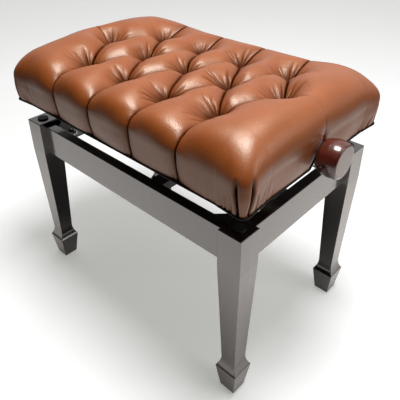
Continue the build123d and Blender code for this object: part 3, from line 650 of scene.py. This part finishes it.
def full_form(unrolled_x, unrolled_y, ring_x, ring_y, rings):
    """The untufted cover: each grid point's place in space, and its place round a corner."""
    ring = np.maximum(ring_x, ring_y)
    out = np.append(0.0, rings["out"])[ring]
    height = np.append(TOP, rings["height"])[ring]
    radius = np.append(0.0, rings["corner"])[ring]
    over_x, over_y, around = corner_place(corner_share(ring_x, ring_y), out, radius)
    at_corner = (ring_x > 0) & (ring_y > 0)
    side_x = np.sign(unrolled_x)
    side_y = np.sign(unrolled_y)

    # The flat top, with its grid drifting a little so that no line is quite straight
    above_edge = unit(1 - ring / rings["outer"])
    drift_x = DRIFT * soft_waves(unrolled_x, unrolled_y, DRIFT_SIZE) * above_edge
    drift_y = DRIFT * soft_waves(unrolled_x, unrolled_y, DRIFT_SIZE) * above_edge
    flat_x = np.clip(unrolled_x, -CORE_X, CORE_X)
    flat_y = np.clip(unrolled_y, -CORE_Y, CORE_Y)
    flat_x = flat_x + drift_x * unit((CORE_X - np.abs(flat_x)) / DRIFT_FADE)
    flat_y = flat_y + drift_y * unit((CORE_Y - np.abs(flat_y)) / DRIFT_FADE)

    # The sides and the corners
    bulge = np.where(at_corner, corner_bulge(around, out) / math.sqrt(2), 0.0)
    x = np.where(ring_x > 0, side_x * (CORE_X + np.where(at_corner, over_x, out)), flat_x)
    y = np.where(ring_y > 0, side_y * (CORE_Y + np.where(at_corner, over_y, out)), flat_y)
    x = x + side_x * bulge
    y = y + side_y * bulge

    # The rolls at the ends, the dome, the lower corners and the notches
    roll = end_roll(x) * (1 - unit(np.abs(y) / HALF_DEPTH) ** END_ROLL_POWER)
    to_corner = HALF_LENGTH - np.abs(x) + HALF_DEPTH - np.abs(y)
    near_corner = unit(1 - to_corner / CORNER_REACH) ** CORNER_POWER
    above = unit((height - WIDE_Z) / (TOP - WIDE_Z))
    height = height + (END_ROLL * roll + dome(y) - CORNER_DROP * near_corner) * above
    below = unit((WIDE_Z - height) / (WIDE_Z - EDGE_Z))
    at_end = (ring_x > 0) & (ring_y == 0)
    height = np.where(at_end, height + notch_lift(y) * below, height)
    return np.stack([x, y, height], axis=-1), np.where(at_corner, around, 1.0)


def surface_normals(points):
    """Outward normals of a grid of points."""
    normal = np.cross(np.gradient(points, axis=1), np.gradient(points, axis=0))
    return normal / np.maximum(np.linalg.norm(normal, axis=-1, keepdims=True), 1e-12)


# What is drawn into the cover, as depths along its normals

def tuft_pits(x, y):
    """Distance to the nearest tuft, and how deep the tufts pull the cover down."""
    nearest = np.full(x.shape, 1.0)
    depth = np.zeros(x.shape)
    for tuft_x, tuft_y in tuft_places():
        away = np.hypot(x - tuft_x, y - tuft_y)
        within = TUFT_REACH - away
        bowl = (within + np.sqrt(within**2 + TUFT_RIM**2)) / (2 * TUFT_REACH)
        bowl = bowl * unit(1 - (away - TUFT_REACH) / TUFT_REACH)
        bottom = TUFT_DEPTH + dome(tuft_y) + END_ROLL * end_roll(tuft_x)
        nearest = np.minimum(nearest, away)
        depth = np.maximum(depth, bottom * bowl)
    return nearest, depth + HOLE_DEPTH * bell(nearest, HOLE_RADIUS)


def gathers(x, y):
    """Rounded folds with sharp valleys that run into each tuft, uneven in width, length and depth."""
    total = np.zeros(x.shape)
    for tuft_x, tuft_y in tuft_places():
        step_x = x - tuft_x
        step_y = y - tuft_y
        radius = np.hypot(step_x, step_y)
        near = radius < GATHER_REACH * max(GATHER_REACHES)
        close = radius[near]
        turn = np.arctan2(step_y[near], step_x[near]) / (2 * math.pi) + random.uniform(1, 2)
        valleys = np.arange(GATHER_COUNT) + random.uniform(-GATHER_SHIFT, GATHER_SHIFT, GATHER_COUNT)
        valleys = np.append(valleys, valleys[0] + GATHER_COUNT) / GATHER_COUNT
        turn = (turn - valleys[0]) % 1.0 + valleys[0]
        before = np.clip(np.searchsorted(valleys, turn, side="right") - 1, 0, GATHER_COUNT - 1)
        share = (turn - valleys[before]) / (valleys[before + 1] - valleys[before])
        depths = random.uniform(*GATHER_DEPTHS, GATHER_COUNT)
        reaches = random.uniform(*GATHER_REACHES, GATHER_COUNT) * GATHER_REACH
        after = (before + 1) % GATHER_COUNT
        depth = depths[before] * (1 - share) + depths[after] * share
        reach = reaches[before] * (1 - share) + reaches[after] * share
        fade = unit(1 - close / reach) ** GATHER_POWER * unit((close - GATHER_START) / GATHER_RISE)
        total[near] += GATHER_DEPTH * depth * fade * (1 - np.sin(math.pi * share))
    return total


def end_pleat_share(x, tufts, height):
    """How strong the end pleats are: faint over the top of the right end, whole elsewhere."""
    beside_tuft = unit(1 - (tufts - END_PLEAT_START) / END_PLEAT_FADE)
    share = END_PLEAT_SHARE + (1 - END_PLEAT_SHARE) * beside_tuft
    return np.where((height < WIDE_Z + END_PLEAT_LOW) | (x < 0), 1.0, share)


def crowns(x, y, tufts, to_diagonal, to_pleat):
    """How far the pillows fall off towards their creases, and how far the front panels stand up."""
    fade = np.where(y < 0, FRONT_PLEAT_FADE, BACK_PLEAT_FADE)
    inner = unit(1 - (np.maximum(np.abs(y) - TUFT_ROW, 0) / fade) ** PLEAT_FADE_POWER)
    pleat_crown = np.where(y < 0, FRONT_PLEAT_CROWN, BACK_PLEAT_CROWN)
    pleat_crown = pleat_crown * (PLEAT_SIDE_SHARE + (1 - PLEAT_SIDE_SHARE) * inner)
    pleat_crown = pleat_crown + SHOULDER_CUT * bell(y - SHOULDER_CUT_Y, SHOULDER_CUT_WIDTH)
    beside_pleat = unit(1 - to_pleat / PLEAT_CROWN_REACH) ** 2
    crown = CROWN_DEPTH * unit(1 - to_diagonal / CROWN_REACH) ** 2
    crown = np.maximum(crown, pleat_crown * beside_pleat)
    rise = PANEL_RISE * bell(y - PANEL_RISE_Y, PANEL_RISE_WIDTH) * (1 - beside_pleat)
    rise = rise * unit((PANEL_RISE_END - np.abs(x)) / PANEL_RISE_FADE) * unit(tufts / PANEL_RISE_REACH)
    return crown, rise


def edge_distance(unrolled_x, unrolled_y, ring_x, ring_y, rings, around):
    """Distance along the seat's edge from the middle of the nearest corner."""
    ring = np.maximum(ring_x, ring_y)
    out = np.append(0.0, rings["out"])[ring]
    radius = np.append(0.0, rings["corner"])[ring]
    half = np.maximum(out - radius, 0) + radius * math.pi / 4
    beside = np.where(ring_x > 0, CORE_Y - np.abs(unrolled_y), CORE_X - np.abs(unrolled_x))
    return np.where((ring_x > 0) & (ring_y > 0), np.abs(around), half + beside)


def side_wrinkles(from_corner, long_side, quarter, height):
    """Soft upright wrinkles low on the sides, strongest beside each corner."""
    total = np.zeros(height.shape)
    below = WIDE_Z - height
    in_zone = (from_corner < WRINKLE_ZONE) & (below > -WRINKLE_RISE)
    for group in range(8):
        where = (quarter == group // 2) & (long_side == group % 2) & in_zone
        place_along = WRINKLE_START
        for _ in range(WRINKLE_COUNT):
            place_along += random.uniform(*WRINKLE_STEPS)
            depth = WRINKLE_DEPTH * random.uniform(*WRINKLE_SHARES)
            depth = depth * math.exp(-(place_along - WRINKLE_START) / WRINKLE_REACH)
            width = random.uniform(*WRINKLE_WIDTHS)
            lean = random.uniform(*WRINKLE_LEANS)
            start = random.uniform(*WRINKLE_TOPS)
            away = from_corner[where] - place_along - lean * below[where]
            total[where] += depth * bell(away, width) * unit((below[where] - start) / WRINKLE_FADE)
    return total


def pleat_side_folds(pleats, x, y, height):
    """A shallow fold beside each pleat, low on the side."""
    total = np.zeros(x.shape)
    low = unit((SIDE_FOLD_TOP - height) / SIDE_FOLD_FADE)
    for (x0, y0), (x1, y1) in pleats:
        share = (y - y0) / (y1 - y0)
        away = x - (x0 + (x1 - x0) * share) + SIDE_FOLD_OFFSET
        total += SIDE_FOLD_DEPTH * low * (share > 0) * bell(away, SIDE_FOLD_WIDTH)
    return total


def build_cover():
    """The cover's points, the painted shade in its folds, and the grid paths of its creases."""
    rings = cover_rings()
    (columns, ring_columns), (rows, ring_rows) = grid_lines(rings)
    x, y = np.meshgrid(columns, rows)
    ring_x, ring_y = np.meshgrid(ring_columns, ring_rows)
    edge = rings["along"][rings["outer"] - 1]
    diagonals, pleats, ends = crease_lines(CORE_X + edge, CORE_Y + edge)
    paths = snap_to(diagonals + pleats, x, rows, columns)
    full, around = full_form(x, y, ring_x, ring_y, rings)
    normal = surface_normals(full)
    height = full[..., 2]

    # Tufts, creases, pleats and gathers
    tufts, tuft_depth = tuft_pits(x, y)
    to_diagonal = distance_to(diagonals, x, y)
    to_pleat = distance_to(pleats, x, y)
    to_end = distance_to(ends, x, y)
    to_crease = np.minimum(to_diagonal, to_pleat)
    end_share = end_pleat_share(x, tufts, height)
    line_depth = CREASE_DEPTH * pillow(to_diagonal, CREASE_REACH)
    line_depth = np.maximum(line_depth, PLEAT_DEPTH * pillow(to_pleat, PLEAT_REACH))
    line_depth = np.maximum(line_depth, end_share * PLEAT_DEPTH * pillow(to_end, PLEAT_REACH))
    crown, panel_rise = crowns(x, y, tufts, to_diagonal, to_pleat)
    depth = ((line_depth + crown) ** 3 + tuft_depth**3) ** (1 / 3)
    slit = np.maximum(bell(to_crease, SLIT_WIDTH), end_share * bell(to_end, SLIT_WIDTH))
    gather = gathers(x, y)
    depth = depth + SLIT_DEPTH * slit * unit((tufts - SLIT_START) / SLIT_FADE) + gather

    # Corner folds, wrinkles and soft waves
    narrowing = FOLD_NARROWING * unit((WIDE_Z - height) / (WIDE_Z - EDGE_Z))
    to_fold = np.abs(np.abs(around) - FOLD_OFFSET + narrowing)
    started = unit((FOLD_TOP - height) / FOLD_FADE)
    depth = depth + started * FOLD_DEPTH * pillow(to_fold, FOLD_REACH)
    depth = depth + started * SLIT_DEPTH * bell(to_fold, SLIT_WIDTH)
    from_corner = edge_distance(x, y, ring_x, ring_y, rings, around)
    long_side = ((ring_y > 0) & ((ring_x == 0) | (around >= 0))).astype(int)
    quarter = (x > 0) + 2 * (y > 0)
    depth = depth + side_wrinkles(from_corner, long_side, quarter, height)
    depth = depth + pleat_side_folds(pleats, x, y, height)
    depth = depth - WAVE_DEPTH * soft_waves(x, y, WAVE_SIZE) - panel_rise

    # The points, sunk along the normals, with the pits kept above the ties
    ring = np.maximum(ring_x, ring_y)
    outside = ring <= rings["outer"]
    near_edge = unit((rings["outer"] - ring) / EDGE_RINGS)
    depth = np.where(outside, depth * (EDGE_SHARE + (1 - EDGE_SHARE) * near_edge), 0.0)
    points = full - normal * depth[..., None]
    sunk = points[..., 2]
    eased = (sunk + PIT_FLOOR + np.sqrt((sunk - PIT_FLOOR) ** 2 + PIT_EASE**2)) / 2
    points[..., 2] = np.where(tufts < TUFT_REACH / 2, eased, sunk)

    # The painted shade: how far the leather's colour is darkened in creases, pits, gathers and corner folds,
    # where shade falls
    fold = np.exp(-((to_crease / LINE_SHADE) ** LINE_SHADE_POWER))
    fold = np.maximum(fold, BESIDE_SHADE_SHARE * np.exp(-to_crease / BESIDE_SHADE))
    fold = np.maximum(fold, TUFT_SHADE_SHARE * bell(tufts, TUFT_SHADE))
    fold = np.maximum(fold, END_SHADE_SHARE * end_share * np.exp(-to_end / END_SHADE))
    fold = np.maximum(fold, started * bell(to_fold, CORNER_SHADE))
    fold = np.maximum(fold, GATHER_SHADE_SHARE * unit(gather / GATHER_DEPTH * GATHER_SHADE))
    return points, np.where(outside, fold, 0.0), paths


# The cover's mesh and its padding

def cover_faces(paths, row_count, column_count):
    """The grid's faces, split where a crease runs across one, a closing face, and the creases' edges."""
    number = np.arange(row_count * column_count).reshape(row_count, column_count)
    split = {}
    crease_edges = []
    for path in paths:
        for (row0, column0), (row1, column1) in zip(path, path[1:]):
            crease_edges.append((number[row0, column0], number[row1, column1]))
            if column1 != column0:
                split[(row0, min(column0, column1))] = column1 > column0
    quads = np.stack([number[:-1, :-1], number[:-1, 1:], number[1:, 1:], number[1:, :-1]], axis=-1)
    keep = np.ones(quads.shape[:2], bool)
    triangles = []
    for (row, column), rising in split.items():
        keep[row, column] = False
        low_left, low_right, high_right, high_left = (int(value) for value in quads[row, column])
        if rising:
            triangles.append((low_left, low_right, high_right))
            triangles.append((low_left, high_right, high_left))
        else:
            triangles.append((low_left, low_right, high_left))
            triangles.append((low_right, high_right, high_left))
    rim = np.concatenate([number[0, :-1], number[:-1, -1], number[-1, :0:-1], number[:0:-1, 0]])
    closing = [[int(value) for value in rim[::-1]]]
    return quads[keep].tolist() + triangles + closing, crease_edges


def mark_sharp(mesh, pairs):
    """Mark some edges as sharp, so that the light breaks at a crease."""
    ends = np.zeros(len(mesh.edges) * 2, np.int64)
    mesh.edges.foreach_get("vertices", ends)
    ends = np.sort(ends.reshape(-1, 2), axis=1)
    size = len(mesh.vertices)
    wanted = np.sort(np.array(pairs, np.int64), axis=1)
    sharp = np.isin(ends[:, 0] * size + ends[:, 1], wanted[:, 0] * size + wanted[:, 1])
    attribute = mesh.attributes.new("sharp_edge", "BOOLEAN", "EDGE")
    attribute.data.foreach_set("value", sharp)


def make_object(name, points, faces, material, smooth=True):
    """A mesh object with one material."""
    mesh = bpy.data.meshes.new(name)
    mesh.from_pydata(points, [], faces)
    mesh.polygons.foreach_set("use_smooth", np.full(len(mesh.polygons), smooth))
    mesh.materials.append(material)
    mesh.update()
    made = bpy.data.objects.new(name, mesh)
    scene.collection.objects.link(made)
    return made


def simulate_padding(points, held):
    """How far the points of a coarse copy of the cover go when it is blown out as cloth, fixed where held."""
    faces, _ = cover_faces([], *held.shape)
    trial = make_object("padding_trial", points.reshape(-1, 3).tolist(), faces[:-1], leather)
    group = trial.vertex_groups.new(name="held")
    group.add(np.flatnonzero(held).tolist(), 1.0, "REPLACE")
    modifier = trial.modifiers.new("padding", "CLOTH")
    settings = modifier.settings
    settings.quality = PADDING_QUALITY
    settings.mass = PADDING_VERTEX_MASS
    settings.tension_stiffness = PADDING_STRETCH
    settings.compression_stiffness = PADDING_STRETCH
    settings.shear_stiffness = PADDING_SHEAR
    settings.bending_stiffness = PADDING_BEND
    settings.vertex_group_mass = group.name
    settings.use_pressure = True
    settings.uniform_pressure_force = PADDING_PRESSURE
    settings.effector_weights.gravity = 0.0
    modifier.collision_settings.use_collision = False
    for number in range(1, PADDING_FRAMES + 1):
        scene.frame_set(number)
    blown = trial.evaluated_get(bpy.context.evaluated_depsgraph_get())
    places = np.zeros(len(blown.data.vertices) * 3)
    blown.data.vertices.foreach_get("co", places)
    scene.frame_set(1)
    mesh = trial.data
    bpy.data.objects.remove(trial)
    bpy.data.meshes.remove(mesh)
    return places.reshape(points.shape) - points


def padded_points(points, fold):
    """The cover with the simulated padding's movement, smoothed and limited, added to its pillows."""
    rows = np.unique(np.append(np.arange(0, fold.shape[0], PADDING_STRIDE), fold.shape[0] - 1))
    columns = np.unique(np.append(np.arange(0, fold.shape[1], PADDING_STRIDE), fold.shape[1] - 1))
    coarse = points[np.ix_(rows, columns)]
    held = (fold[np.ix_(rows, columns)] > HELD_SHADE) | (coarse[..., 2] < WIDE_Z + HELD_RISE)
    moved = simulate_padding(coarse, held)
    length = np.linalg.norm(moved, axis=-1, keepdims=True)
    moved = moved * np.minimum(1, PADDING_LIMIT / np.maximum(length, 1e-9))
    fine = np.empty(points.shape)
    for axis in range(3):
        across = [np.interp(np.arange(fold.shape[1]), columns, line) for line in moved[..., axis]]
        along = [np.interp(np.arange(fold.shape[0]), rows, line) for line in np.array(across).T]
        fine[..., axis] = np.array(along).T
    for _ in range(PADDING_SMOOTHING):
        fine[1:-1] = (fine[:-2] + 2 * fine[1:-1] + fine[2:]) / 4
        fine[:, 1:-1] = (fine[:, :-2] + 2 * fine[:, 1:-1] + fine[:, 2:]) / 4
    return points + fine


def make_cover():
    """The leather cover, which stands for the CAD cushion and its side pads."""
    points, fold, paths = build_cover()
    points = padded_points(points, fold)
    faces, crease_edges = cover_faces(paths, *fold.shape)
    cover = make_object("seat_cover", points.reshape(-1, 3).tolist(), faces, leather)
    mark_sharp(cover.data, crease_edges)
    # The painted shade goes to the leather in the fold attribute, which darkens and dulls it in the folds.
    shade = cover.data.attributes.new("fold", "FLOAT", "POINT")
    shade.data.foreach_set("value", fold.reshape(-1).astype(np.float32))
    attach(cover, "seat")
    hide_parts("cushion", "side_pad_front", "side_pad_back", "side_pad_left", "side_pad_right")


# The black binding under the cover's lower edge

def trim_path():
    """Stops from the middle of one end round to the middle of the other: kind, place and corner share."""
    over_notch = np.linspace(0, NOTCH_HALF_WIDTH, NOTCH_STOPS)[:-1]
    end_places = np.append(over_notch, np.linspace(NOTCH_HALF_WIDTH, CORE_Y, END_STOPS))
    corner_shares = np.linspace(0, 1, CORNER_STOPS)[1:-1]
    stops = [("end", y, 0.0) for y in end_places]
    stops += [("corner", 0.0, share) for share in corner_shares]
    stops += [("side", x, 0.0) for x in np.linspace(CORE_X, -CORE_X, SIDE_STOPS)]
    stops += [("far_corner", 0.0, share) for share in corner_shares[::-1]]
    stops += [("far_end", y, 0.0) for y in end_places[::-1]]
    return stops


def trim_point(stop, out, height):
    """One point of the binding at a stop along its path."""
    kind, value, share = stop
    if kind == "side":
        return (value, CORE_Y + out, height)
    if kind in ("end", "far_end"):
        x = CORE_X + out
        return (x if kind == "end" else -x, value, height + float(notch_lift(value)))
    radius = np.array(min(out, CORNER_RADIUS))
    over_x, over_y, around = corner_place(np.array(share), np.array(out), radius)
    bulge = float(corner_bulge(around, out)) / math.sqrt(2)
    x = CORE_X + float(over_x) + bulge
    y = CORE_Y + float(over_y) + bulge
    return (x if kind == "corner" else -x, y, height)


def make_trim(name, side):
    """The binding along one long side and half of each end, over the notches."""
    stops = trim_path()
    count = len(TRIM_SECTION)
    points = []
    for stop in stops:
        for out, height in TRIM_SECTION:
            x, y, z = trim_point(stop, out, height)
            points.append((x, side * y, z))
    faces = []
    for index in range(len(stops) - 1):
        first = index * count
        for corner in range(count):
            after = (corner + 1) % count
            faces.append((first + corner, first + after, first + count + after, first + count + corner))
    faces.append(list(range(count))[::-1])
    faces.append([(len(stops) - 1) * count + corner for corner in range(count)])
    trim = make_object(name, points, faces, trim_cloth, smooth=False)
    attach(trim, "seat")


make_cover()
make_trim("edge_binding_front", -1)
make_trim("edge_binding_back", 1)


# Floor, light and camera

def make_floor():
    """A pale floor to the camera, dimmed and warmed by a painted shadow towards the seat; in reflections a
    glowing pale ring of painted light between a painted shadow under the seat and a dark far floor; grey to
    other rays.
    """
    material, tree, shader = new_material("pale_floor")
    mottle(tree, shader, noise(tree, EVEN, 3.0), (0.77, 0.77, 0.79), (0.80, 0.80, 0.82))
    shader.inputs["Roughness"].default_value = 0.8
    shader.inputs["Specular IOR Level"].default_value = 0.1
    shader.inputs["Emission Strength"].default_value = FLOOR_GLOW
    plain = add_node(tree, "ShaderNodeBsdfDiffuse", {"Color": (0.30, 0.30, 0.29, 1.0)})
    middle = add_node(tree, "ShaderNodeTexCoord")
    away = add_node(tree, "ShaderNodeVectorMath", {0: middle.outputs["Object"]}, operation="LENGTH")
    reached = add_node(tree, "ShaderNodeMapRange", {"Value": away.outputs["Value"], "From Max": FLOOR_FAR})
    # Painted light and shadow in reflections: the floor glows pale in a ring round the seat, with a painted
    # shadow under the seat and darker beyond the ring.
    pale = (0.80, 0.77, 0.74)
    stops = [(0.06, grey(0.10)), (0.17, pale), (0.38, pale), (0.80, grey(0.06))]
    ring = ramp(tree, reached.outputs[0], stops)
    # Painted shadow for the camera: the floor's glow is dimmer and warmer near the seat, paler further away.
    seen = ramp(tree, reached.outputs[0], [(0.10, (0.76, 0.76, 0.70)), (0.60, (1.0, 1.0, 0.96))])
    tree.links.new(seen, shader.inputs["Emission Color"])
    mirrored = add_node(tree, "ShaderNodeBsdfPrincipled", {"Base Color": ring, "Emission Color": ring})
    mirrored.inputs["Specular IOR Level"].default_value = 0.0
    mirrored.inputs["Emission Strength"].default_value = FLOOR_MIRRORED_GLOW
    path = add_node(tree, "ShaderNodeLightPath")
    thrown = add_node(tree, "ShaderNodeMixShader", {0: path.outputs["Is Glossy Ray"]})
    tree.links.new(plain.outputs[0], thrown.inputs[1])
    tree.links.new(mirrored.outputs[0], thrown.inputs[2])
    mixed = add_node(tree, "ShaderNodeMixShader", {0: path.outputs["Is Camera Ray"]})
    tree.links.new(thrown.outputs[0], mixed.inputs[1])
    tree.links.new(shader.outputs[0], mixed.inputs[2])
    tree.links.new(mixed.outputs[0], tree.nodes["Material Output"].inputs["Surface"])
    reach = FLOOR_REACH
    corners = [(-reach, -reach, 0), (reach, -reach, 0), (reach, reach, 0), (-reach, reach, 0)]
    make_object("floor", corners, [(0, 1, 2, 3)], material)


def make_world():
    """A studio, dark in front of the seat and paler behind it, with a pale background for the camera."""
    world = bpy.data.worlds.new("studio")
    scene.world = world
    world.use_nodes = True
    tree = world.node_tree
    tree.nodes.clear()
    path = add_node(tree, "ShaderNodeLightPath")
    heading = add_node(tree, "ShaderNodeTexCoord")
    behind = add_node(tree, "ShaderNodeVectorMath", {1: WORLD_PALE_WAY}, operation="DOT_PRODUCT")
    tree.links.new(heading.outputs["Generated"], behind.inputs[0])
    share = add_node(tree, "ShaderNodeMapRange", {"Value": behind.outputs["Value"], "From Min": -1.0})
    tone = ramp(tree, share.outputs[0], [(0.50, grey(WORLD_FRONT)), (0.95, grey(WORLD_BACK))])
    dim = add_node(tree, "ShaderNodeBackground", {"Color": tone, "Strength": 1.0})
    pale = add_node(tree, "ShaderNodeBackground", {"Color": (1.0, 1.0, 0.99, 1.0), "Strength": WORLD_SEEN})
    mixed = add_node(tree, "ShaderNodeMixShader", {0: path.outputs["Is Camera Ray"]})
    tree.links.new(dim.outputs[0], mixed.inputs[1])
    tree.links.new(pale.outputs[0], mixed.inputs[2])
    output = add_node(tree, "ShaderNodeOutputWorld")
    tree.links.new(mixed.outputs[0], output.inputs["Surface"])


def make_light(name, place_at, aim, size, power):
    """A square soft light that points at a place."""
    lamp = bpy.data.lights.new(name, "AREA")
    lamp.shape = "SQUARE"
    lamp.size = size
    lamp.energy = power
    made = bpy.data.objects.new(name, lamp)
    made.location = place_at
    made.rotation_euler = (Vector(aim) - Vector(place_at)).to_track_quat("-Z", "Y").to_euler()
    scene.collection.objects.link(made)


def make_camera():
    """The photograph's viewpoint."""
    camera = bpy.data.cameras.new("camera")
    camera.sensor_width = CAMERA_SENSOR
    camera.lens = CAMERA_LENS
    camera.shift_x, camera.shift_y = CAMERA_SHIFT
    made = bpy.data.objects.new("camera", camera)
    turn = Matrix((Vector(CAMERA_RIGHT), -Vector(CAMERA_DOWN), -Vector(CAMERA_FORWARD))).transposed()
    made.matrix_world = Matrix.Translation(CAMERA_PLACE) @ turn.to_4x4()
    scene.collection.objects.link(made)
    scene.camera = made


make_floor()
make_world()
make_light("overhead", place_at=(0.24, 0.05, 2.1), aim=(0.0, 0.0, 0.4), size=0.6, power=35.0)
make_light("right_side", place_at=(2.4, 1.0, 1.5), aim=(0.1, 0.0, 0.3), size=1.2, power=12.0)
make_camera()
